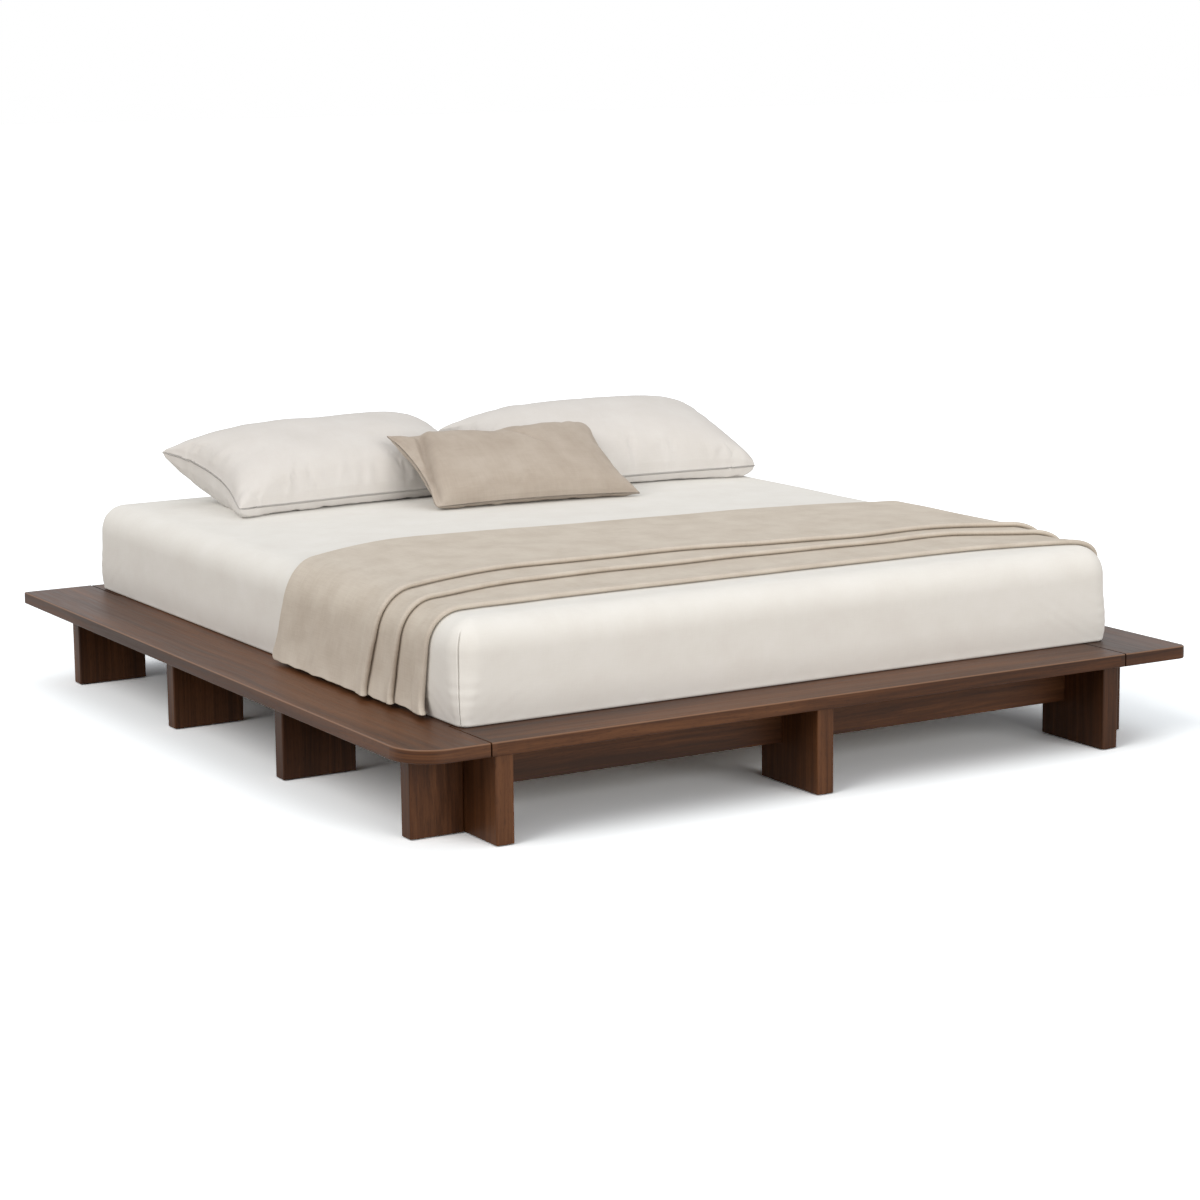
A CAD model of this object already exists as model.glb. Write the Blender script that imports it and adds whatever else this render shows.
import math
from functools import partial

import bpy
import numpy as np
from mathutils import Matrix, Vector


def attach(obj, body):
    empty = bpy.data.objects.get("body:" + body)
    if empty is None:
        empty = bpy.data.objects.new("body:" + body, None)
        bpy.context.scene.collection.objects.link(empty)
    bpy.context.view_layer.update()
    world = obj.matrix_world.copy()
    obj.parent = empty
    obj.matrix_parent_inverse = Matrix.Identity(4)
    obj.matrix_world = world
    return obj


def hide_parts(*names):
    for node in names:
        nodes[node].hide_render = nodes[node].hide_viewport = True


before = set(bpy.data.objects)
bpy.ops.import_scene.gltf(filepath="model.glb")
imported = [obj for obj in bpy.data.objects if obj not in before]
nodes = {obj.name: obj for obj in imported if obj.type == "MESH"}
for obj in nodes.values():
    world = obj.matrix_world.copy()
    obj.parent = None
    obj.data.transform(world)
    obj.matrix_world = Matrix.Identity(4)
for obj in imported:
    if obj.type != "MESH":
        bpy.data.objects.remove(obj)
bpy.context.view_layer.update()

mm = 0.001


# Small helpers for colours, nodes and materials

def hexColour(text):
    # sRGB hex to linear: c / 12.92 below 0.04045, else ((c + 0.055) / 1.055) ^ 2.4
    parts = [int(text[i:i + 2], 16) / 255 for i in (1, 3, 5)]
    return [c / 12.92 if c <= 0.04045 else ((c + 0.055) / 1.055) ** 2.4 for c in parts] + [1.0]


def join(source, socket):
    # the source is an output, or a node whose first output in use is meant
    if isinstance(source, bpy.types.Node):
        source = next(output for output in source.outputs if output.enabled)
    socket.id_data.links.new(source, socket)


def addNode(tree, kind, settings=None, links=None, stops=()):
    # kind may name an operation or data type too; settings fill sockets by name or number, or else
    # properties of the node; links join sockets to their sources; stops are a colour ramp's
    kind, *mode = kind.split()
    node = tree.nodes.new("ShaderNode" + kind)
    if mode:
        setattr(node, "data_type" if kind == "Mix" else "operation", mode[0])
    for name, value in (settings or {}).items():
        if isinstance(name, int) or name in node.inputs:
            node.inputs[name].default_value = value
        else:
            setattr(node, name, value)
    for name, source in (links or {}).items():
        join(source, node.inputs[name])
    if stops:
        elements = node.color_ramp.elements
        while len(elements) < len(stops):
            elements.new(0.5)
        for element, (place, colour) in zip(elements, stops):
            element.position = place
            element.color = hexColour(colour)
    return node


def newMaterial(name, settings):
    # a material with nothing but its shader yet, and the function that adds nodes to it
    material = bpy.data.materials.new(name)
    material.use_nodes = True
    material.node_tree.nodes.clear()
    add = partial(addNode, material.node_tree)
    shader = add("BsdfPrincipled", settings)
    add("OutputMaterial", links={"Surface": shader})
    return material, add, shader


def paint(add, shader, colour, height=None, strength=0.2, depth=0.1):
    # joins the colour to the shader, and the height as relief, its depth in mm
    join(colour, shader.inputs["Base Color"])
    if height:
        bump = add("Bump", {"Strength": strength, "Distance": depth * mm}, {"Height": height})
        join(bump, shader.inputs["Normal"])


def grainSize(grain, across, along):
    # mm along x, y and z of something that is longer along the grain
    return [along if axis == grain else across for axis in "XYZ"]


def streaks(add, place, size, detail, rough=0.6):
    # noise stretched to a size in mm along x, y and z
    scaled = add("Mapping", {"Scale": [1000 / length for length in size]}, {"Vector": place})
    return add("TexNoise", {"Scale": 1.0, "Detail": detail, "Roughness": rough}, {"Vector": scaled})


# Walnut, planed along the grain and oiled to a satin: long streaks of uneven width that stray a little,
# short dark pores that run with them, and edges rubbed lighter.
walnutLook = {
    "dark": "#331c0d", "middle": "#4b2c17", "light": "#664127", "pore": "#1f120a", "rubbed": "#9b7860",
    "plank": (170, 1500),  # mm across and along of one slow change of tone
    "figure": (26, 900),  # mm across and along of one band of the figure
    "fibre": (5.0, 260),  # mm across and along of one streak of fibre
    "pores": (1.4, 22),  # mm across and along of one pore, coarser than life so that they show
    "stray": (260, 520),  # mm across and along of one bend of the figure
    "wander": 40,  # mm that the figure strays over a board's length
    "figureTone": 0.9, "fibreTone": 0.7,  # how much of the tone each brings
    "tones": (0.96, 1.64),  # the sum's darkest and lightest value
    "poreShare": 0.4,  # how dark the pores are
    "wear": 0.55,  # how light the rubbed edges are
    "roughness": (0.37, 0.49),
    "relief": 0.3,  # mm
}


def walnut(name, grain, shine):
    look = walnutLook
    material, add, shader = newMaterial(name, {"IOR": 1.5, "Specular IOR Level": shine})
    surface = add("TexCoord").outputs
    place = surface["Object"]
    facing = add("SeparateXYZ", links={"Vector": surface["Normal"]}).outputs["Z"]
    if grain != "Z":
        # on upright edges the streaks run along the edge, also round a corner: x + y takes the place of the
        # coordinate along the grain
        parts = add("SeparateXYZ", links={"Vector": place}).outputs
        along = add("Math ADD", None, {0: parts["X"], 1: parts["Y"]})
        edge = add("CombineXYZ", links={grain: along, "Z": parts["Z"]})
        steep = add("Math ABSOLUTE", None, {0: facing})
        steep = add("Math LESS_THAN", {1: 0.6}, {0: steep})
        place = add("Mix VECTOR", None, {0: steep, 4: place, 5: edge})

    stray = streaks(add, place, grainSize(grain, *look["stray"]), 2.0, 0.45)
    strayed = add("VectorMath MULTIPLY_ADD", {1: [look["wander"] * mm] * 3},
                      {0: stray.outputs["Color"], 2: place})
    plank = streaks(add, place, grainSize(grain, *look["plank"]), 1.0, 0.5)
    figure = streaks(add, strayed, grainSize(grain, *look["figure"]), 3.0)
    fibre = streaks(add, strayed, grainSize(grain, *look["fibre"]), 4.0)
    pores = streaks(add, place, grainSize(grain, *look["pores"]), 2.0, 0.5)

    tone = add("Math MULTIPLY_ADD", {1: look["figureTone"]}, {0: figure, 2: plank})
    tone = add("Math MULTIPLY_ADD", {1: look["fibreTone"]}, {0: fibre, 2: tone})
    low, high = look["tones"]
    tone = add("MapRange", {"From Min": low, "From Max": high}, {"Value": tone})
    colour = add("ValToRGB", None, {"Fac": tone},
                     [(0.08, look["dark"]), (0.5, look["middle"]), (0.94, look["light"])])
    poreDepth = add("ValToRGB", None, {"Fac": pores}, [(0.34, "#ffffff"), (0.44, "#000000")])
    poreDepth = add("Math MULTIPLY", {1: look["poreShare"]}, {0: poreDepth})
    colour = add("Mix RGBA", {7: hexColour(look["pore"])}, {0: poreDepth, 6: colour})
    # the eased upper edges are rubbed lighter, where the surface leans but neither stands nor lies flat
    leaning = add("MapRange", {"From Min": 0.2, "From Max": 0.55}, {"Value": facing})
    notFlat = add("MapRange", {"From Min": 0.985, "From Max": 0.9}, {"Value": facing})
    rubbed = add("Math MULTIPLY", None, {0: leaning, 1: notFlat})
    rubbed = add("Math MULTIPLY", {1: look["wear"]}, {0: rubbed})
    colour = add("Mix RGBA", {7: hexColour(look["rubbed"])}, {0: rubbed, 6: colour})

    low, high = look["roughness"]
    gloss = add("MapRange", {"From Min": 0.3, "From Max": 0.7, "To Min": low, "To Max": high},
                    {"Value": fibre})
    join(gloss, shader.inputs["Roughness"])
    height = add("Math SUBTRACT", None, {0: fibre, 1: poreDepth})
    paint(add, shader, colour, height, 0.2, look["relief"])
    return material


# Beech, planed and left plain: pale and even, with short flecks.
beechLook = {"dark": "#b8946b", "middle": "#cdab82", "light": "#d8bb95",
             "fleck": (5.0, 120)}  # mm across and along


def beech(name, grain):
    look = beechLook
    material, add, shader = newMaterial(name, {"Roughness": 0.6, "IOR": 1.5})
    fleck = streaks(add, add("TexCoord").outputs["Object"], grainSize(grain, *look["fleck"]), 4.0)
    colour = add("ValToRGB", None, {"Fac": fleck},
                     [(0.3, look["dark"]), (0.5, look["middle"]), (0.7, look["light"])])
    paint(add, shader, colour, fleck, 0.2, 0.2)
    return material


def speckled(name, settings, perMetre, detail, dark, light, relief=0.0):
    # a noise of so many speckles per metre between two near colours
    material, add, shader = newMaterial(name, settings)
    speckle = add("TexNoise", {"Scale": perMetre, "Detail": detail},
                      {"Vector": add("TexCoord").outputs["Object"]})
    colour = add("ValToRGB", None, {"Fac": speckle}, [(0.35, dark), (0.65, light)])
    paint(add, shader, colour, speckle if relief else None, relief)
    return material


# Woven cloth on a UV map that counts in metres: warp and weft as two crossing sets of ridges, slubs as
# long faint streaks each way, and a mottle where the yarn takes the dye unevenly.
def woven(name, look):
    material, add, shader = newMaterial(name, {
        "Roughness": look["roughness"], "IOR": 1.46, "Sheen Weight": look["sheen"], "Sheen Roughness": 0.55,
        "Sheen Tint": hexColour(look["light"])})
    place = add("UVMap", {"uv_map": "cloth"})

    def threads(direction):
        # one wave for each thread: a wave is 2 pi / (20 scale) long
        return add("TexWave", {
            "wave_type": "BANDS", "bands_direction": direction,
            "Scale": 2 * math.pi / (20 * look["thread"] * mm), "Distortion": 1.2, "Detail": 1.0,
            "Detail Scale": 0.6}, {"Vector": place}).outputs["Fac"]

    across, along = look["slub"]
    warp = streaks(add, place, (across, along, 1000), 3.0)
    weft = streaks(add, place, (along, across, 1000), 3.0)
    slub = add("Math ADD", None, {0: warp, 1: weft})
    weave = add("Math ADD", None, {0: threads("X"), 1: threads("Y")})
    mottle = streaks(add, place, (look["mottle"], look["mottle"], 1000), 3.0)
    tone = add("Math MULTIPLY_ADD", {1: look["slubTone"]}, {0: slub, 2: mottle})
    tone = add("Math MULTIPLY_ADD", {1: look["threadTone"]}, {0: weave, 2: tone})
    middle = 0.5 + look["slubTone"] + look["threadTone"]
    tone = add("MapRange", {"From Min": middle - 0.3, "From Max": middle + 0.3}, {"Value": tone})
    colour = add("ValToRGB", None, {"Fac": tone},
                     [(0.1, look["dark"]), (0.5, look["middle"]), (0.9, look["light"])])
    height = add("Math MULTIPLY_ADD", {1: 1.4}, {0: slub, 2: weave})
    paint(add, shader, colour, height, look["relief"], 0.35)
    return material


# Washed linen: soft, dull and slubby, beige. Thread, slub and mottle are in mm, across and along for a
# slub, and the threads of all four cloths are coarser than life so that they show.
linenLook = {"dark": "#c0b6a9", "middle": "#c9c0b4", "light": "#d0c8bc", "thread": 1.8, "slub": (2.4, 60),
             "mottle": 90, "slubTone": 0.55, "threadTone": 0.12, "relief": 0.16, "roughness": 0.9,
             "sheen": 0.12}
# The cushion's linen is a shade browner.
cushionLook = {**linenLook, "dark": "#a99d91", "middle": "#b1a69a", "light": "#b9afa4", "slubTone": 0.35,
               "relief": 0.1}
# Cotton percale: even, dry and off-white.
cottonLook = {"dark": "#e4e2de", "middle": "#e7e6e2", "light": "#eae9e6", "thread": 1.6, "slub": (2.4, 40),
              "mottle": 110, "slubTone": 0.35, "threadTone": 0.05, "relief": 0.06, "roughness": 0.92,
              "sheen": 0.05}
# The pillowcases are a little less white than the sheet.
caseLook = {**cottonLook, "dark": "#d4d1cd", "middle": "#d7d4d1", "light": "#dad8d5"}

finishes = {
    "walnutX": walnut("oiled_walnut_board_x", "X", 0.23),
    "walnutY": walnut("oiled_walnut_board_y", "Y", 0.25),
    "walnutZ": walnut("oiled_walnut_leg", "Z", 0.22),
    "walnutRailX": walnut("oiled_walnut_rail_x", "X", 0.22),
    "walnutRailY": walnut("oiled_walnut_rail_y", "Y", 0.22),
    "beechX": beech("planed_beech_grain_x", "X"),
    "beechY": beech("planed_beech_grain_y", "Y"),
    "beechZ": beech("planed_beech_grain_z", "Z"),
    # zinc-plated and bright rolled steel: grey metals with a faint mottle of 3 mm from the bath or the rolls
    "zinc": speckled("zinc_plated_steel", {"Metallic": 1.0, "Roughness": 0.34}, 300.0, 3.0,
                     "#a7a9ad", "#c3c5c8"),
    "steel": speckled("bright_rolled_steel", {"Metallic": 1.0, "Roughness": 0.42}, 300.0, 3.0,
                      "#8b8e93", "#a9acb0"),
    # moulded nylon: near black, dull and finely pebbled, a pebble to the millimetre
    "nylon": speckled("moulded_black_nylon", {"Roughness": 0.62, "IOR": 1.53}, 900.0, 2.0,
                      "#1d1d20", "#2a2a2e", 0.2),
    "throwLinen": woven("washed_linen_throw", linenLook),
    "cushionLinen": woven("washed_linen_cushion", cushionLook),
    "sheetCotton": woven("cotton_percale_sheet", cottonLook),
    "caseCotton": woven("cotton_percale_case", caseLook),
}
# which CAD nodes take each finish, by how their names start
finishedNodes = {
    "walnutX": ("foot_board", "head_board"),
    "walnutY": ("side_board", "foot_lipping", "head_lipping"),
    "walnutZ": ("side_leg", "foot_leg", "head_leg", "bolt_plugs"),
    "walnutRailX": ("foot_rail", "head_rail"),
    "walnutRailY": ("side_rail",),
    "beechX": ("slat_",),
    "beechY": ("centre_beam",),
    "beechZ": ("centre_leg", "joint_dowels"),
    "steel": ("rail_brackets",),
    "nylon": ("floor_glides",),
    "zinc": ("",),  # all the rest
}
for name, node in nodes.items():
    finish = next(finish for finish, starts in finishedNodes.items() if name.startswith(starts))
    node.data.materials.clear()
    node.data.materials.append(finishes[finish])
print("finishes:", len(finishes))


# Shapes used by every surface below

def smoothStep(t):
    # s = t held to 0..1, then s^2 (3 - 2 s)
    s = np.clip(t, 0, 1)
    return s * s * (3 - 2 * s)


def hump(t, width):
    # exp(-(t / width)^2)
    return np.exp(-np.square(t / width))


def waves(seed, wavelength, *places):
    # sum of 12 cosines of random direction, each wavelength 0.75 to 1.35 of the given one, scaled to a
    # typical size of 0.35
    draw = np.random.default_rng(seed)
    total, count = 0.0, 12
    for _ in range(count):
        direction = draw.normal(size=len(places))
        direction /= np.linalg.norm(direction)
        turn = 2 * math.pi / (wavelength * draw.uniform(0.75, 1.35))
        phase = draw.uniform(0, 2 * math.pi)
        total = total + np.cos(sum(d * p for d, p in zip(direction, places)) * turn + phase)
    return total / math.sqrt(6 * count) * 1.2


def gridQuads(rows, columns, wrap=False):
    # corner numbers of every cell of a grid stored row by row; wrap joins the last column to the first
    i = np.arange(rows - 1)[:, None]
    j = np.arange(columns if wrap else columns - 1)[None, :]
    k = (j + 1) % columns
    return np.stack([i * columns + j, i * columns + k, (i + 1) * columns + k, (i + 1) * columns + j],
                    axis=-1).reshape(-1, 4)


def gridNormals(points, wrap=False):
    # cross product of the differences along the rows and along the columns, at unit length
    down = np.gradient(points, axis=0)
    if wrap:
        across = (np.roll(points, -1, axis=1) - np.roll(points, 1, axis=1)) / 2
    else:
        across = np.gradient(points, axis=1)
    normal = np.cross(across, down)
    return normal / np.maximum(np.linalg.norm(normal, axis=-1, keepdims=True), 1e-12)


def addObject(name, data):
    made = bpy.data.objects.new(name, data)
    bpy.context.scene.collection.objects.link(made)
    return made


def makePiece(name, points, quads, uv, material, extraFaces=()):
    # points in mm; uv in metres, one pair for each point; extraFaces close a shape's ends
    mesh = bpy.data.meshes.new(name)
    points = np.reshape(points, (-1, 3)) * mm
    mesh.from_pydata(points.tolist(), [], quads.tolist() + list(extraFaces))
    mesh.polygons.foreach_set("use_smooth", [True] * len(mesh.polygons))
    corners = np.concatenate([quads.ravel(), *extraFaces]).astype(np.int32)
    layer = mesh.uv_layers.new(name="cloth")
    layer.data.foreach_set("uv", np.reshape(uv, (-1, 2))[corners].astype(np.float32).ravel())
    mesh.update(calc_edges=True)
    mesh.validate()
    mesh.materials.append(material)
    print(name, len(mesh.vertices), "points")
    return addObject(name, mesh)


# Mattress in its fitted sheet

mattress = {
    "width": 1829, "length": 2134, "height": 244,
    "centre": (38.0, 47.0), "base": 235.3,  # mm, where its middle lies and how high its underside
    "crown": 6, "crownReach": 360,  # mm that the top rises, and how far in from the side it has risen
    "roll": 84, "rollPower": 2.4,  # mm of rolled top edge; 2 rolls it on a circle, more makes it squarer
    "corner": 62, "cornerFoot": 36,  # mm, the corners' radius at the rolled edge and at the foot
    "swell": 8, "footRoll": 8,  # mm that the sides draw in below their middle, and the foot's radius
    "step": 14,  # mm from column to column along a side
    "sideWave": 1.1, "topWave": 0.5,  # mm of slow unevenness
    "gather": 2.2, "gatherWidth": 46, "gatherReach": 34,  # mm of gathers at the foot, drawn under
    "pull": 1.7, "pullWidth": 44, "pullReach": 170,  # mm of the creases that run up from the corners
    "pullSlope": 1.35,
    "seamTop": 212,  # mm above the base where the corner seam ends
    "seamAngle": 38,  # degrees round the corner from the long side
    "seamDepth": 5.2, "seamWidth": 1.4,
}
halfWidth = mattress["width"] / 2
halfLength = mattress["length"] / 2
rollHeight = mattress["height"] - mattress["crown"] - mattress["roll"]
crownStart = mattress["roll"]


def topHeight(inset):
    # height - crown (1 - smoothStep of the way in from the rolled edge)
    share = (inset - crownStart) / (mattress["crownReach"] - crownStart)
    return mattress["height"] - mattress["crown"] * (1 - smoothStep(share))


def mattressTop(x, y):
    # height of the top above the floor at a place measured from the mattress's middle
    return mattress["base"] + topHeight(np.minimum(halfWidth - np.abs(x), halfLength - np.abs(y)))


def sideInset(t):
    # the side draws in below its middle: swell (1 - 2 t)^2 up to t = 1/2, then 0
    return mattress["swell"] * np.maximum(0, 1 - 2 * t) ** 2


def rolledEdge(degrees):
    # a superellipse from the side to the top: roll (1 - cos^p), roll sin^p with p = 2 / power
    turn, p = np.radians(degrees), 2 / mattress["rollPower"]
    cos, sin = np.maximum(np.cos(turn), 0) ** p, np.maximum(np.sin(turn), 0) ** p
    return mattress["roll"] * (1 - cos), rollHeight + mattress["roll"] * sin


def mattressProfile():
    # [inset, height], from the underside round the foot, up the side, round the rolled edge and in
    # over the crown
    m = mattress
    turn = np.radians(np.linspace(0, 90, 7))
    foot = np.stack([m["swell"] + m["footRoll"] * (1 - np.sin(turn)), m["footRoll"] * (1 - np.cos(turn))], 1)
    t = np.linspace(0, 1, 30)[1:-1]
    side = np.stack([sideInset(t), m["footRoll"] + (rollHeight - m["footRoll"]) * t], 1)
    roll = np.stack(rolledEdge(90 * smoothStep(np.linspace(0.08, 0.92, 26))), 1)
    inset = crownStart + np.array([10, 22, 36, 52, 70, 90, 112, 136, 162, 190, 220, 255, 300, 350, 420, 500,
                                   600, 700, 780, halfWidth - crownStart - 0.4])
    crown = np.stack([inset, topHeight(inset)], 1)
    # the sheet's edge is turned under by 120 mm, and the mattress is 3 mm higher beyond it
    under = np.array([[halfWidth - 0.4, 3.0], [320, 3.0], [132, 3.0], [124, 2.4], [120, 0.2], [116, 0.0],
                      [60, 0.0]])
    return np.concatenate([under, foot, side, roll, crown])


def makeMattress():
    m = mattress
    profile = mattressProfile()
    seam = m["seamAngle"]
    # the columns round a corner in degrees, close together at the seam
    fine = np.array([-6.0, -4.4, -3.3, -2.5, -1.8, -1.2, -0.6, 0, 0.6, 1.2, 1.8, 2.5, 3.3, 4.4, 6.0])
    coarse = np.concatenate([np.arange(0, seam - 7, 4.0), seam + fine, np.arange(seam + 8, 90.1, 4.0)])
    inset, height = profile[:, 0][:, None], profile[:, 1][:, None]
    grown = m["cornerFoot"] + (m["corner"] - m["cornerFoot"]) * smoothStep(height / rollHeight)
    radius = np.minimum(np.maximum(grown - inset, 4), halfWidth - inset)
    pieces, along, sideways, fromSeam = [], [], [], []
    # four corners, each an arc, and the straight run to the next corner
    runs = [(1, 1, 0), (-1, 1, 90), (-1, -1, 180), (1, -1, 270)]
    walk = 0.0
    for number, (sx, sy, start) in enumerate(runs):
        seamHere = seam if sx * sy > 0 else 90 - seam
        angles = coarse if sx * sy > 0 else np.sort(90 - coarse)
        a = np.radians(start + angles)[None, :]
        cx, cy = sx * (halfWidth - inset - radius), sy * (halfLength - inset - radius)
        arc = np.stack([cx + radius * np.cos(a), cy + radius * np.sin(a), height + 0 * a], -1)
        pieces.append(arc)
        along.append(walk + np.radians(angles) * m["corner"])
        walk += math.pi / 2 * m["corner"]
        fromSeam.append((angles - seamHere) * math.pi / 180 * m["corner"])
        sideways.append(np.zeros(len(angles)))
        nx, ny, nextStart = runs[(number + 1) % 4]
        long = 2 * (halfLength if sx == nx else halfWidth) - 2 * m["corner"]
        count = int(long / m["step"])
        t = np.linspace(0, 1, count + 2)[1:-1][None, :, None]
        b = math.radians(nextStart)
        first = arc[:, -1:, :]
        cx, cy = nx * (halfWidth - inset - radius), ny * (halfLength - inset - radius)
        second = np.stack([cx + radius * math.cos(b), cy + radius * math.sin(b), height], -1)
        pieces.append(first * (1 - t) + second * t)
        along.append(walk + t[0, :, 0] * long)
        sideways.append(np.minimum(t[0, :, 0], 1 - t[0, :, 0]) * long)
        fromSeam.append(np.full(count, 1e3))
        walk += long
    points = np.concatenate(pieces, axis=1)
    along, sideways, fromSeam = map(np.concatenate, (along, sideways, fromSeam))
    normal = gridNormals(points, wrap=True)
    z = points[..., 2]
    x, y = points[..., 0], points[..., 1]
    onSide = smoothStep((z - 2) / 20) * (1 - smoothStep((inset - m["swell"] - 40) / 90))
    lift = m["sideWave"] * waves(3, 330, x, y, z) * onSide
    lift = lift + m["topWave"] * waves(5, 210, x, y) * smoothStep((inset - 60) / 200)
    turn = 2 * math.pi * along / walk  # the gathers repeat round the mattress, so they meet themselves
    ring = walk / (2 * math.pi)
    gathers = waves(8, m["gatherWidth"], np.cos(turn) * ring, np.sin(turn) * ring)
    lift = lift + m["gather"] * (gathers - 0.25) * np.exp(-np.maximum(z, 0) / m["gatherReach"]) * onSide
    # creases that fan up from each corner's foot: ridges of equal slope, dying out along and up
    slope = sideways[None, :] - m["pullSlope"] * z
    pull = waves(13, m["pullWidth"], slope) * np.exp(-sideways / m["pullReach"])[None, :] * hump(z - 70, 80)
    lift = lift + m["pull"] * pull * onSide
    inSeam = smoothStep((m["seamTop"] - z) / 6) * smoothStep((z - 1) / 6)
    # the seam is a narrow groove with a low welt on each side
    groove = -m["seamDepth"] * hump(fromSeam, m["seamWidth"])
    groove = groove + 1.0 * hump(fromSeam - 4.0, 2.6) + 0.6 * hump(fromSeam + 4.2, 2.8)
    lift = lift + groove[None, :] * inSeam
    points = points + normal * lift[..., None]
    points = points + [*m["centre"], m["base"]]
    rows, columns = points.shape[:2]
    # the cloth's own coordinates: round the side as one strip, and flat over the top, 9 m away from it
    up = np.concatenate([[0], np.cumsum(np.linalg.norm(np.diff(profile, axis=0), axis=1))])
    onTop = (smoothStep((inset - m["swell"] - 30) / 30) > 0.5) & (z > 100)
    uv = np.stack([along[None, :] + 0 * z, up[:, None] + 0 * z], -1)
    flat = np.stack([x + 9000, y + 9000], -1)
    uv = np.where(onTop[..., None], flat, uv) * mm
    last = (rows - 1) * columns
    piece = makePiece("mattress_sheet", points, gridQuads(rows, columns, wrap=True)[:, ::-1], uv,
                      finishes["sheetCotton"],
                      [list(range(columns)), [last + i for i in range(columns - 1, -1, -1)]])
    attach(piece, "mattress")
    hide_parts("mattress")


makeMattress()


# Pillows and cushion

pillows = {
    "depth": 436,
    "under": 120,  # mm that the filling stands out below, as top is above
    "tilt": 16, "lift": 18,  # degrees that it leans back, and mm that its front seam is raised
    "seam": 1.0,
    "rimRise": 6,  # mm that the middle of each end seam rises, pushed up by the filling
    "drawnIn": 42,  # mm that the middle of each end seam is drawn in
    # at is where the front seam's middle lies, turn is in degrees, and a larger end fills the right end out
    "left": {"at": (-322, 545), "turn": 4, "seed": 21, "width": 818, "top": 117, "end": 4.4},
    "right": {"at": (461, 456), "turn": -2, "seed": 34, "width": 822, "top": 124, "end": 3.4},
    "cloth": {"pressure": 4.0, "slack": 0.03, "cap": 12, "stiffness": 12, "bending": 0.1, "frames": 20,
              "quality": 6},
    # mm: the sewn edge, then the puckers that run in from it
    "sewing": {"rib": 0.3, "valley": 0.35, "puckers": 46, "height": 1.8, "width": (7, 15),
               "reach": (30, 120)},
    "fine": 4.2,  # mm from point to point of the finished grid
}
cushion = {
    "width": 600, "depth": 292, "full": 56, "seam": 1.6,
    "dent": 9, "dentAt": -0.06,  # mm that the top edge dips where its two lobes meet
    "lowLeft": (-230, 347.3), "turn": -7, "lean": 37, "lift": 5,  # its lower left corner; degrees; mm
    "slump": -52,  # mm that the top edge has slid to the left
    "ear": (14, 74),  # mm beside the left seam that the filling does not reach, below and above
    # mm from the lower left corner: the crease between the lobes, its start, its end and its reach
    "crease": ((258, 300), (388, 176), 24), "creaseDepth": 26,
    "foldDepth": 9,  # mm of the fold beside the ear
    "cloth": {"pressure": 4.0, "slack": 0.02, "cap": 8, "stiffness": 12, "bending": 0.15, "frames": 20,
              "quality": 6},
    "sewing": {"rib": 0.5, "valley": 0.8, "puckers": 38, "height": 1.8, "width": (6, 12), "reach": (18, 70)},
    "fine": 3.6,
}


def fullness(u, v, power, end=3.2):
    # ((1 - |u|^e) (1 - |v|^2.2))^power, with e = end at the right and 3.2 at the left: 0 at the seams and 1
    # in the middle
    return ((1 - np.abs(u) ** np.where(u > 0, end, 3.2)) * (1 - np.abs(v) ** 2.2)) ** power


def easedSteps(count):
    # t + 0.25 sin(pi t) / pi for even t from -1 to 1, so that the steps are a little shorter at the seams
    t = np.linspace(-1, 1, count)
    return t + 0.25 * np.sin(math.pi * t) / math.pi


def caseQuads(countU, countV):
    # two halves on one grid, upper first, with a strip of narrow faces between their rims
    quads = gridQuads(countU, countV)
    count = countU * countV
    rim = np.concatenate([np.arange(countV), np.arange(1, countU) * countV + countV - 1,
                          (countU - 1) * countV + np.arange(countV - 2, -1, -1),
                          np.arange(countU - 2, 0, -1) * countV])
    after = np.roll(rim, -1)
    strip = np.stack([rim, after, after + count, rim + count], -1)
    return np.concatenate([quads[:, ::-1], quads + count, strip[:, ::-1]])


def fineLine(length, step):
    # places in mm across a case: close together at the seams, evenly spaced between
    near = np.array([0, 0.8, 1.6, 2.5, 3.5, 4.6, 6.0, 7.8, 10.0, 12.8])
    between = np.linspace(16, length - 16, int((length - 32) / step))
    return np.concatenate([near, between, length - near[::-1]])


def cubicRows(grid, at):
    # Catmull-Rom between the rows of a grid at fractional row numbers
    grid = np.concatenate([2 * grid[:1] - grid[1:2], grid, 2 * grid[-1:] - grid[-2:-1]])
    i = np.clip(np.floor(at).astype(int), 0, len(grid) - 4)
    t = (at - i)[:, None, None]
    p, q, r, w = (grid[i + k] for k in range(4))
    return q + t / 2 * ((r - p) + t * ((2 * p - 5 * q + 4 * r - w) + t * (3 * q - p - 3 * r + w)))


def refine(points, u, v, width, depth, step):
    # the same two halves on a finer grid, with its own u and v
    lineU, lineV = fineLine(width, step), fineLine(depth, step)
    atU = np.interp(lineU, (u[:, 0] + 1) * width / 2, np.arange(len(u)))
    atV = np.interp(lineV, (v[0] + 1) * depth / 2, np.arange(v.shape[1]))
    halves = []
    for half in points.reshape(2, *u.shape, 3):
        rows = cubicRows(half, atU)
        halves.append(cubicRows(rows.transpose(1, 0, 2), atV).transpose(1, 0, 2))
    fineU, fineV = np.meshgrid(lineU * 2 / width - 1, lineV * 2 / depth - 1, indexing="ij")
    return np.stack(halves).reshape(-1, 3), fineU, fineV, caseQuads(len(lineU), len(lineV))


def pointNormals(points, quads):
    # mean of the cross products of each face's diagonals over the faces that meet at a point
    a, b, c, d = (points[quads[:, k]] for k in range(4))
    face = np.cross(c - a, d - b)
    total = np.zeros_like(points)
    for k in range(4):
        np.add.at(total, quads[:, k], face)
    return total / np.maximum(np.linalg.norm(total, axis=1, keepdims=True), 1e-12)


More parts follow.
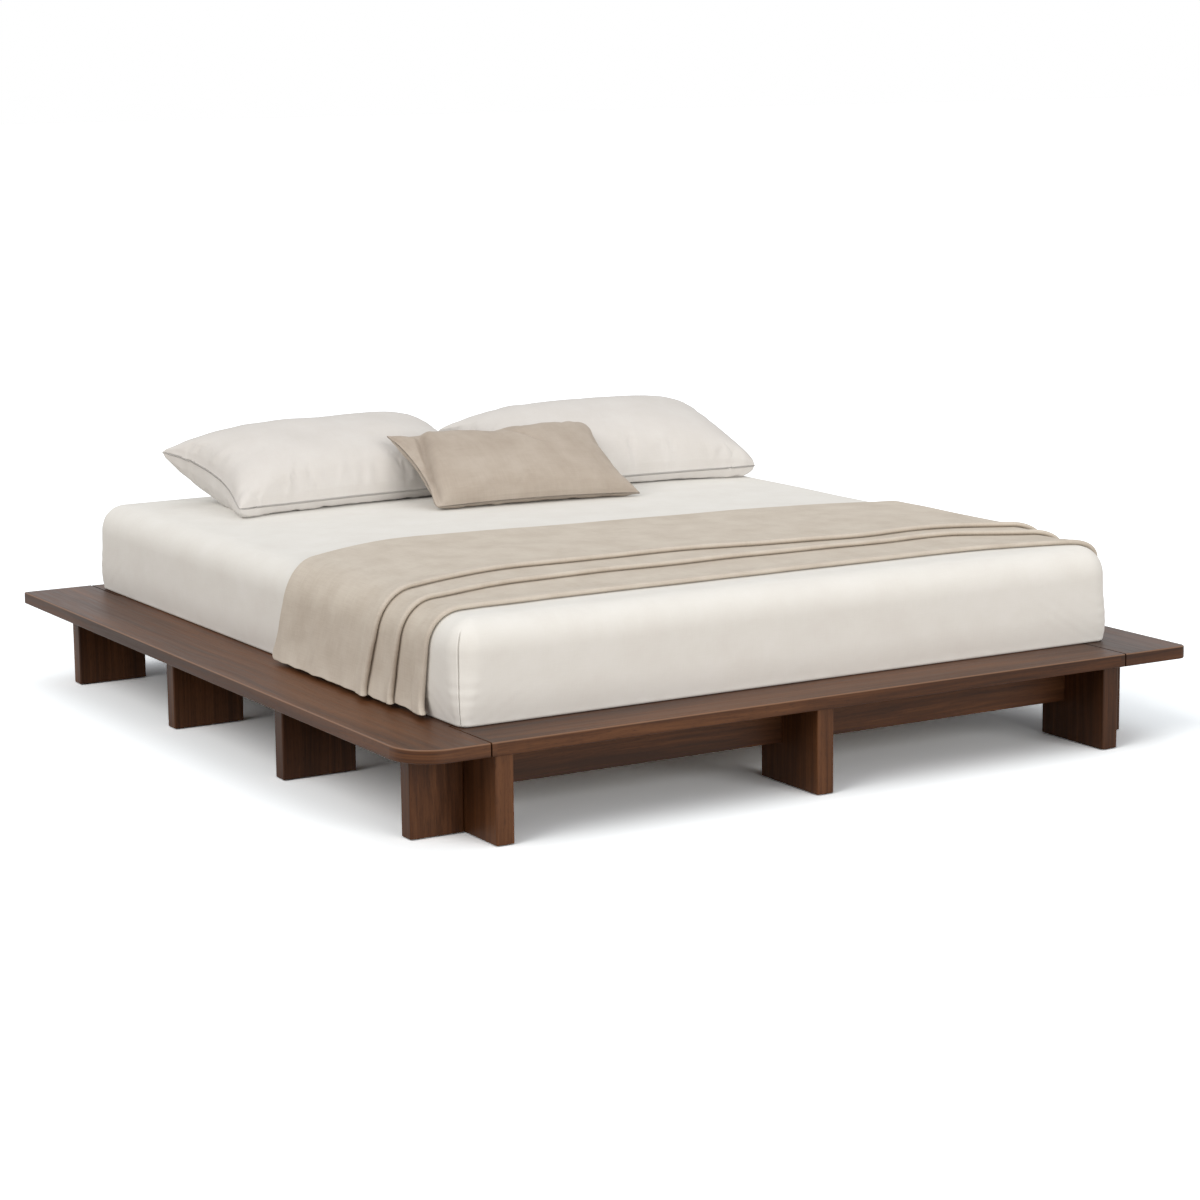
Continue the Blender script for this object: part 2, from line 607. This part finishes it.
def inflate(name, points, quads, settings):
    # cloth blown up from inside: the fabric is cut larger than the shape by the slack, so it buckles, and
    # no point moves further than the cap
    mesh = bpy.data.meshes.new(name)
    mesh.from_pydata((points * mm).tolist(), [], quads.tolist())
    mesh.update()
    body = addObject(name, mesh)
    cloth = body.modifiers.new("cloth", "CLOTH")
    fabric = cloth.settings
    fabric.quality = settings["quality"]
    fabric.mass = 0.25
    fabric.tension_stiffness = fabric.compression_stiffness = settings["stiffness"]
    fabric.shear_stiffness = settings["stiffness"] / 3
    fabric.bending_stiffness = settings["bending"]
    fabric.air_damping = 2
    fabric.shrink_min = -settings["slack"]
    fabric.use_pressure = True
    fabric.uniform_pressure_force = settings["pressure"]
    fabric.effector_weights.gravity = 0
    cloth.collision_settings.use_collision = False
    cloth.point_cache.frame_start, cloth.point_cache.frame_end = 1, settings["frames"]
    for step in range(1, settings["frames"] + 1):
        bpy.context.scene.frame_set(step)
    blown = body.evaluated_get(bpy.context.evaluated_depsgraph_get()).to_mesh()
    moved = np.empty(len(points) * 3, np.float32)
    blown.vertices.foreach_get("co", moved)
    moved = moved.reshape(-1, 3).astype(float) / mm - points
    far = np.linalg.norm(moved, axis=1, keepdims=True)
    bpy.context.scene.frame_set(1)
    bpy.data.objects.remove(body)
    bpy.data.meshes.remove(mesh)
    print(name, "moved by up to", round(float(far.max()), 1), "mm, on average", round(float(far.mean()), 1))
    # the cap is soft: cap tanh(distance / cap)
    return points + moved / np.maximum(far, 1e-9) * settings["cap"] * np.tanh(far / settings["cap"])


def puckers(along, away, length, seed, look):
    # ridges and furrows that run in from a seam: each a hump across, that widens and dies away as it goes in
    draw = np.random.default_rng(seed)
    total = 0.0
    for _ in range(max(2, int(look["puckers"] * length / 1246))):
        at, slant = draw.uniform(-0.46, 0.46) * length, draw.uniform(-0.4, 0.4)
        width, reach = draw.uniform(*look["width"]), draw.uniform(*look["reach"])
        height = draw.uniform(0.35, 1.0) * draw.choice([-1, 1]) * look["height"]
        across = (along - at - slant * away) / (width * (1 + away / reach))
        total = total + height * hump(across, 1) * hump(away, reach) * smoothStep(away / 7)
    return total


def finishCase(points, u, v, quads, width, depth, seed, look):
    # sewn seam: a narrow rib at the rim beside a shallow valley, then puckers in from each of the four sides,
    # all along the normals
    points = points.copy()
    across, up = u * width / 2, v * depth / 2
    edge = np.minimum(width / 2 - np.abs(across), depth / 2 - np.abs(up))
    for half in (0, 1):
        part = slice(half * u.size, (half + 1) * u.size)
        lift = look["rib"] * hump(edge, 1.5) - look["valley"] * hump(edge - 3.6, 1.8)
        lift = lift + 0.3 * waves(seed + half, 17, across, up) * np.exp(-edge / 12) * smoothStep(edge / 4)
        for number, (along, away, length) in enumerate((
                (across, depth / 2 + up, width), (across, depth / 2 - up, width),
                (up, width / 2 + across, depth), (up, width / 2 - across, depth))):
            lift = lift + puckers(along, away, length, seed * 10 + half * 4 + number, look)
        points[part] += pointNormals(points, quads)[part] * lift.reshape(-1, 1)
    return points


def layDown(points):
    # nothing goes through the mattress: z is at least its top's height and 0.6 mm
    x, y = points[:, 0] - mattress["centre"][0], points[:, 1] - mattress["centre"][1]
    points[:, 2] = np.maximum(points[:, 2], mattressTop(x, y) + 0.6)
    return points


def makeCase(name, finish, points, u, v, settings, seed, creases=None):
    # blow up the coarse shape, carry it over to a fine grid, crease its upper half, sew it and lay it down
    width, depth = settings["width"], settings["depth"]
    points = layDown(points)
    points = inflate(name + "_cloth", points, caseQuads(*u.shape), settings["cloth"])
    points, u, v, quads = refine(points, u, v, width, depth, settings["fine"])
    if creases:
        points[:u.size] += pointNormals(points, quads)[:u.size] * creases(u, v).reshape(-1, 1)
    points = layDown(finishCase(points, u, v, quads, width, depth, seed, settings["sewing"]))
    uv = np.stack([u * width / 2, v * depth / 2], -1).reshape(-1, 2) * mm
    uv = np.concatenate([uv + [2.0, 0.0], uv + [2.0, 1.0]])  # the halves lie a metre apart on the map
    piece = makePiece(name + "_case", points, quads, uv, finishes[finish])
    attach(piece, name)
    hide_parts(name)


def tilted(along, rise, out, tilt, turn, place):
    # leans a flat case back by the tilt, turns it and puts its corner or middle at the place
    tilt, turn = math.radians(tilt), math.radians(turn)
    back = rise * math.cos(tilt) - out * math.sin(tilt)
    up = rise * math.sin(tilt) + out * math.cos(tilt)
    x = place[0] + along * math.cos(turn) - back * math.sin(turn) + mattress["centre"][0]
    y = place[1] + along * math.sin(turn) + back * math.cos(turn) + mattress["centre"][1]
    return np.stack([x, y, mattress["base"] + mattress["height"] + place[2] + up], -1).reshape(-1, 3)


def makePillow(side):
    p = {**pillows, **pillows[side]}
    u, v = np.meshgrid(easedSteps(130), easedSteps(76), indexing="ij")
    corner = (np.abs(u) * np.maximum(0, -v)) ** 8
    halves = []
    for half, height, power, reach in ((1, p["top"], 0.5, 5), (-1, p["under"], 0.4, 12)):
        px = u * (p["width"] / 2 - p["drawnIn"] * (1 - v * v) - 12 * corner)
        pv = (v + 1) * p["depth"] / 2 - 14 * (1 - u * u) * v + 14 * corner
        slow = 3.0 * waves(p["seed"] + 9, 190, px, pv) - 3.0
        rise = p["rimRise"] * np.abs(u) ** reach * (1 - v * v)
        full = fullness(u, v, power, p["end"])
        h = half * (p["seam"] + (height + slow) * full) + rise * (1 - fullness(u, v, 0.5))
        halves.append(tilted(px, pv, h, p["tilt"], p["turn"], (*p["at"], p["lift"])))
    makeCase("pillow_" + side, "caseCotton", np.concatenate(halves), u, v, p,
             p["seed"])


makePillow("left")
makePillow("right")


def creaseStep(x, y, start, end, reach):
    # from the line between start and end: a drop of 1 within 11 mm on its right, which recovers over the
    # reach, and fades at the line's far end
    ax, ay = start
    bx, by = end[0] - ax, end[1] - ay
    long = math.hypot(bx, by)
    along = ((x - ax) * bx + (y - ay) * by) / long / long
    off = ((y - ay) * bx - (x - ax) * by) / long
    return smoothStep((off + 7) / 11) * np.exp(-np.maximum(off, 0) / reach) * smoothStep((1.15 - along) / 0.6)


def fromFold(u, v):
    # mm to the right of the line where the filling ends, which runs from the lower left corner up to the top
    low, high = cushion["ear"]
    return (u + 1) * cushion["width"] / 2 - low - (high - low) * smoothStep(((v + 1) / 2 - 0.3) / 0.7)


def cushionCreases(u, v):
    # the fold beside the ear and the crease between the two lobes, both gone 20 mm from the seams
    c = cushion
    x, y = (u + 1) * c["width"] / 2, (v + 1) * c["depth"] / 2
    inside = smoothStep(np.minimum(np.minimum(y, c["depth"] - y) / 20, np.minimum(x, c["width"] - x) / 14))
    fold = -c["foldDepth"] * hump(fromFold(u, v), 8) + 3 * hump(fromFold(u, v) - 22, 14)
    return (fold - c["creaseDepth"] * creaseStep(x, y, *c["crease"])) * inside


def makeCushion():
    c = cushion
    u, v = np.meshgrid(easedSteps(112), easedSteps(60), indexing="ij")
    up = (v + 1) / 2
    flatX, flatY = (u + 1) * c["width"] / 2, up * c["depth"]
    # the top edge: it climbs from the left tip, dips where the two lobes meet and is higher beyond
    topLine = 8 * smoothStep((u + 0.95) / 0.6) + 6 * smoothStep((u - c["dentAt"]) / 0.3) \
        - c["dent"] * hump(u - c["dentAt"], 0.13)
    roundRight = (np.maximum(0, u) * np.maximum(0, v)) ** 10
    roundLeft = (np.maximum(0, -u) * np.maximum(0, -v)) ** 9
    along = flatX - 16 * u * (1 - v * v) + c["slump"] * up - 24 * roundRight + 8 * roundLeft
    rise = flatY - 10 * v * (1 - u * u) + topLine * up ** 3 - 14 * roundRight + 6 * roundLeft
    ear = 0.3 + 0.7 * smoothStep((fromFold(u, v) + 4) / 34)
    fold = creaseStep(flatX, flatY, *c["crease"])
    halves = []
    for half in (1, -1):
        left = hump(u + 1, 0.35)
        full = fullness(u, v, 0.52) * (1 + 0.2 * left * (1 - v * v))
        if half > 0:
            full = full * ear * (1 - 0.15 * fold * up)
        h = half * (c["seam"] + (c["full"] - 2) * full) + 7 * left * (1 - v * v) * (1 - fullness(u, v, 0.5))
        halves.append(tilted(along, rise, h, c["lean"], c["turn"], (*c["lowLeft"], c["lift"])))
    makeCase("cushion", "cushionLinen", np.concatenate(halves), u, v, c,
             57, cushionCreases)


makeCushion()


# Throw, folded in four layers

throw = {
    "thickness": 3.0,  # mm, one layer of the woven cloth
    "layer": 4.0,  # mm from one layer to the next
    "roll": 4.6,  # mm, radius of the rounded edge where a layer turns back
    "undercut": 1.7,  # mm that a folded edge stands off the layer below
    "turnedUnder": 52,  # mm of hem turned under at the lowest and the highest band
    "gap": 1.4,  # mm over the mattress
    "hem": 7, "flare": 10,  # mm that the hem ends above the deck, and that it stands out there
    "footGap": 134, "lowBand": 174, "midBand": 141, "topBand": 580,
    # mm that each edge swings to the foot over the shoulder and at the hem, at the left and the right, and
    # how far in from each side that starts
    "shoulderSwing": ((16, 90), (72, 140), (118, 130), (196, 20)),
    "hemSwing": ((-24, -60), (6, 20), (33, 60), (104, 10)),
    "swingReach": (430, 420),
    "sag": (0, 18, 62, 0),  # mm that each edge lies nearer the foot, most at this share of the width
    "sagAt": 0.72, "sagWidth": 0.17,
    "spread": 0.5,  # how much further apart the layers are at the hem
    "curl": 32, "curlReach": 24,  # mm that the folded edges swing to the foot over the last of the hem
    "corner": 26,  # mm, radius of the corners at the head edge
    "folds": 4.0, "ripples": 1.3,  # mm of the upright folds in the hanging part
    "edgeWave": 2.2,  # mm that the edges stray from a straight line
    "rumple": 1.6,  # mm of slow unevenness over the top
    "inset": 9,  # mm that the hidden turns stay back from the head edge
}


def throwEdges():
    # each long edge of the throw as its distance from the mattress's foot end at the left and at the right
    t = throw
    low = np.array([t["footGap"], t["footGap"] - 8.0])
    middle = low + [t["lowBand"], t["lowBand"] + 15]
    top = middle + [t["midBand"], t["midBand"] - 56]
    head = top + [t["topBand"], t["topBand"] - 142]
    return np.stack([low, middle, top, head])


def halfPath():
    # [inset, height above the base or -1 on the top, direction of the outward normal in degrees],
    # from the hem up the side, round the rolled edge and in to the middle
    m, t = mattress, throw
    sideMiddle = m["footRoll"] + (rollHeight - m["footRoll"]) / 2
    s = np.linspace(0, 1, 24) ** 1.15
    hang = np.stack([-t["flare"] * (1 - s) ** 2, t["hem"] + (sideMiddle - t["hem"]) * s, 0 * s], 1)
    s = np.linspace(0.5, 1, 9)[1:-1]
    side = np.stack([sideInset(s), m["footRoll"] + (rollHeight - m["footRoll"]) * s, 0 * s], 1)
    turn = 90 * smoothStep(np.linspace(0.06, 0.94, 26))
    roll = np.stack([*rolledEdge(turn), turn], 1)
    inset = np.concatenate([np.arange(crownStart + 12, 420, 15), np.arange(430, halfWidth - 5, 22)])
    top = np.stack([inset, 0 * inset - 1, 0 * inset + 90], 1)
    return np.concatenate([hang, side, roll, top])


def throwRows():
    # the folded cloth seen end on, row by row, as [edge, next edge, share between them, mm past it, mm high]:
    # turned under at the first edge, then two turns at the head and one at the second edge between them,
    # and turned under at the third
    t = throw
    r, layer, back, off = t["roll"], t["layer"], t["turnedUnder"], t["undercut"]
    rows = []

    def run(a, b, start, end, count, height):
        for s in np.linspace(0, 1, count):
            rows.append((a, b, s, start * (1 - s) + end * s, height))

    def near(edge, places, low, hemHeight):
        # above a turned edge: as high as the turn, sinking onto the layer below with exp(-(d / 20)^2), and
        # down by the turned hem's height where that ends
        for d in places:
            puff = (2 * r - layer) * math.exp(-((d - r) / 20) ** 2)
            past = min(max((d - back + 8) / 24, 0), 1)
            rows.append((edge, edge, 0, d, low + layer - hemHeight * past * past * (3 - 2 * past) + puff))

    def turn(edge, past, low, high, reach, count=11):
        # half an ellipse, towards the foot where reach is negative
        for angle in np.radians(np.linspace(-90, 90, count))[1:-1]:
            height = (low + high) / 2 + abs(high - low) / 2 * math.sin(angle) * (1 if high > low else -1)
            rows.append((edge, edge, 0, past + reach * math.cos(angle), height))

    close = np.concatenate([np.linspace(r, 30, 9), np.linspace(34, 116, 12)])
    run(0, 0, back, r, 6, 0)
    turn(0, r, off, 2 * r, -r, 13)
    near(0, close, 0, layer)
    run(0, 1, 126, 10, 6, 0)
    run(1, 3, 60, -t["inset"], 6, 0)
    turn(3, -t["inset"], 0, layer, 2.2)
    run(3, 1, -t["inset"], 50, 6, layer)
    run(1, 1, 34, r, 3, layer)
    turn(1, r, layer + off, layer + 2 * r, -r, 13)
    near(1, close[:14], layer, 0)
    run(1, 2, 66, 10, 7, 2 * layer)
    run(2, 3, 60, -t["inset"] / 2, 6, 2 * layer)
    turn(3, -t["inset"] / 2, 2 * layer, 3 * layer, 3)
    run(3, 2, -t["inset"] / 2, 126, 36, 3 * layer)
    near(2, close[::-1], 3 * layer, layer)
    turn(2, r, 3 * layer + 2 * r, 3 * layer + off, -r, 13)
    run(2, 2, r, back, 6, 3 * layer)
    return rows


def makeThrow():
    t, m = throw, mattress
    edges = throwEdges()
    half = halfPath()
    path = np.concatenate([half, half[::-1]])  # left hem to the middle to right hem
    side = np.concatenate([-np.ones(len(half)), np.ones(len(half))])
    right = side > 0
    inset, rise, facing = path[:, 0], path[:, 1], path[:, 2]
    onTop = rise < 0
    reach = np.where(right, t["swingReach"][1], t["swingReach"][0])
    near = (np.maximum(0, reach - inset) / reach) ** 2
    # 0 to 1 at the hem, from below the rolled edge and from above it
    rolled = rollHeight + m["roll"]
    fall = np.where(onTop, 0, np.clip((rollHeight - rise) / (rollHeight - t["hem"]), 0, 1))
    fallAll = np.where(onTop, 0, np.clip((rolled - rise) / (rolled - t["hem"]), 0, 1))
    overHem = np.where(onTop, 1e3, rise - t["hem"])
    share = (1 + side * (1 - inset / halfWidth)) / 2
    across = side * (halfWidth - inset)
    # a rounded corner: r (1 - sqrt(1 - c^2)) with c from 1 at the hem to 0 at the radius above it
    rounded = t["corner"] * (1 - np.sqrt(1 - np.clip(1 - overHem / t["corner"], 0, 1) ** 2))
    places = []
    for k in range(4):
        straight = edges[k, 0] * (1 - share) + edges[k, 1] * share
        shoulder, hem = (np.where(right, *t[name][k][::-1]) for name in ("shoulderSwing", "hemSwing"))
        swing = near * (shoulder * (1 - fallAll) + hem * fallAll)
        low = rounded if k == 3 else t["curl"] * np.exp(-overHem / t["curlReach"])
        swing = swing + t["sag"][k] * hump(share - t["sagAt"], t["sagWidth"])
        stray = t["edgeWave"] * waves(60 + k, 240, across, -fall * rollHeight)
        places.append(straight - swing - low + stray - halfLength)
    places = np.stack(places)  # edge by station

    rows = throwRows()
    a, b = (np.array([r[i] for r in rows]) for i in (0, 1))
    s, past, height = (np.array([r[i] for r in rows])[:, None] for i in (2, 3, 4))
    y = places[a] * (1 - s) + places[b] * s + past  # row by station
    x = across[None, :] + 0 * y
    z = np.where(onTop[None, :], mattressTop(x, y) - m["base"], rise[None, :])
    out = t["gap"] + t["thickness"] / 2 + height * (1 + t["spread"] * fall[None, :])
    climb = np.diff(np.where(onTop, m["height"], rise))
    walk = np.concatenate([[0], np.cumsum(np.hypot(np.diff(across), climb))])
    hanging = smoothStep((60 - inset) / 90)[None, :]
    below = np.clip((rolled - np.where(onTop, 1e3, rise)) / rollHeight, 0, 1)[None, :]
    # upright folds in the hanging part, deeper towards the hem, all layers together
    folds = waves(71, 85, y, 0.3 * z) * t["folds"] + waves(72, 34, y, 0.15 * z) * t["ripples"]
    out = out + np.maximum(0, folds + 0.5 * t["folds"]) * hanging * below * 0.8
    # slow rumples over the top
    flatPart = (1 - hanging) * smoothStep((y - places[0]) / 60)
    out = out + t["rumple"] * (waves(75, 190, 0.6 * x, y) + 1) * flatPart
    angle = np.radians(facing)[None, :]
    px = x + side[None, :] * out * np.cos(angle)
    pz = z + out * np.sin(angle)
    # the hem hangs unevenly
    rag = np.maximum(0, waves(77, 120, y) * 3.0 + waves(78, 45, y) * 1.2 + 4.0)
    pz = pz + rag * np.exp(-overHem / 30)[None, :]
    points = np.stack([px, y, pz], -1) + [*m["centre"], m["base"]]
    along = np.concatenate([[0], np.cumsum(np.linalg.norm(np.diff(points[:, len(half)], axis=0), axis=1))])
    uv = np.stack([walk[None, :] + 0 * y, along[:, None] + 0 * y], -1) * mm
    piece = makePiece("throw_cloth", points, gridQuads(*points.shape[:2]), uv, finishes["throwLinen"])
    solid = piece.modifiers.new("thickness", "SOLIDIFY")
    solid.thickness = t["thickness"] * mm
    solid.offset = 0
    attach(piece, "throw")
    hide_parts("throw")
    print("throw, flat:", round(walk[-1] * mm, 3), "by", round(along[-1] * mm, 3), "m")


makeThrow()


# Camera, light and floor

# metres and radians, fitted to the edges of deck, legs and mattress in the photograph
view = {"place": (-3.913281, -6.796662, 1.708395), "yaw": 0.5315, "pitch": 0.1802, "roll": 0.0108,
        "focalPixels": 3063.728, "imagePixels": 1200, "sensor": 36}


def makeCamera():
    yaw, pitch, roll = view["yaw"], view["pitch"], view["roll"]
    ahead = Vector((math.sin(yaw) * math.cos(pitch), math.cos(yaw) * math.cos(pitch), -math.sin(pitch)))
    level = Vector((math.cos(yaw), -math.sin(yaw), 0))
    under = ahead.cross(level)
    right = level * math.cos(roll) + under * math.sin(roll)
    up = -(under * math.cos(roll) - level * math.sin(roll))
    data = bpy.data.cameras.new("camera")
    data.sensor_fit = "HORIZONTAL"
    data.sensor_width = view["sensor"]
    data.lens = view["sensor"] * view["focalPixels"] / view["imagePixels"]
    data.clip_end = 200
    camera = addObject("camera", data)
    camera.matrix_world = Matrix((right, up, -ahead)).transposed().to_4x4()
    camera.location = view["place"]
    bpy.context.scene.camera = camera


def makeLamp(name, towards, spread, power, colour):
    # a wide, distant softbox: the same light all over the floor, and soft shadows
    data = bpy.data.lights.new(name, "SUN")
    data.angle = math.radians(spread)
    data.energy = power * math.pi
    data.color = hexColour(colour)[:3]
    lamp = addObject(name, data)
    azimuth, height = (math.radians(a) for a in towards)
    level = math.cos(height)
    place = Vector((math.cos(azimuth) * level, math.sin(azimuth) * level, math.sin(height)))
    lamp.rotation_euler = place.to_track_quat("Z", "Y").to_euler()
    lamp.location = place * 6


# where each softbox stands, as [azimuth, height] in degrees, how wide it looks, and how much it adds
# to a white surface that faces it
lamps = {
    "front": ((-80, 12), 40, 0.50, "#fffaf4"),
    "left": ((-170, 40), 40, 0.44, "#fffaf4"),
    "above": ((60, 66), 40, 0.07, "#ffffff"),
}
# the floor looks white, and its shadow light, while what it throws back is a warm grey
stage = {"floorGain": (1.45, 1.52, 1.58), "bounce": "#a59c92", "sky": 0.50}


def makeFloor():
    # a plain pale floor: white to the eye, and darker to the light that bounces off it
    mesh = bpy.data.meshes.new("floor")
    far = 60.0
    mesh.from_pydata([(-far, -far, 0), (far, -far, 0), (far, far, 0), (-far, far, 0)], [], [(0, 1, 2, 3)])
    floor = addObject("floor", mesh)
    material, add, shader = newMaterial("pale_floor", {"Roughness": 1.0, "Specular IOR Level": 0.0})
    ray = add("LightPath").outputs
    mirrored = add("Math MAXIMUM", None,
                       {0: ray["Is Glossy Ray"], 1: ray["Is Transmission Ray"]})
    thrown = {6: hexColour(stage["bounce"]), 7: hexColour("#ffffff")}
    colour = add("Mix RGBA", thrown, {0: mirrored})
    colour = add("Mix RGBA", {7: [*stage["floorGain"], 1]},
                     {0: ray["Is Camera Ray"], 6: colour})
    paint(add, shader, colour)
    mesh.materials.append(material)


def makeSky():
    world = bpy.data.worlds.new("studio")
    world.use_nodes = True
    world.node_tree.nodes.clear()
    add = partial(addNode, world.node_tree)
    ray = add("LightPath").outputs
    seen = add("Math MAXIMUM", None,
                   {0: ray["Is Camera Ray"], 1: ray["Is Transmission Ray"]})
    seen = add("Math MAXIMUM", None, {0: seen, 1: ray["Is Glossy Ray"]})
    strength = add("MapRange", {"To Min": stage["sky"], "To Max": 1.0}, {"Value": seen})
    background = add("Background", {"Color": hexColour("#ffffff")}, {"Strength": strength})
    add("OutputWorld", links={"Surface": background})
    bpy.context.scene.world = world


makeCamera()
for name, settings in lamps.items():
    makeLamp(name, *settings)
makeFloor()
makeSky()
bpy.context.scene.view_settings.view_transform = "Standard"
print("camera, light and floor set")
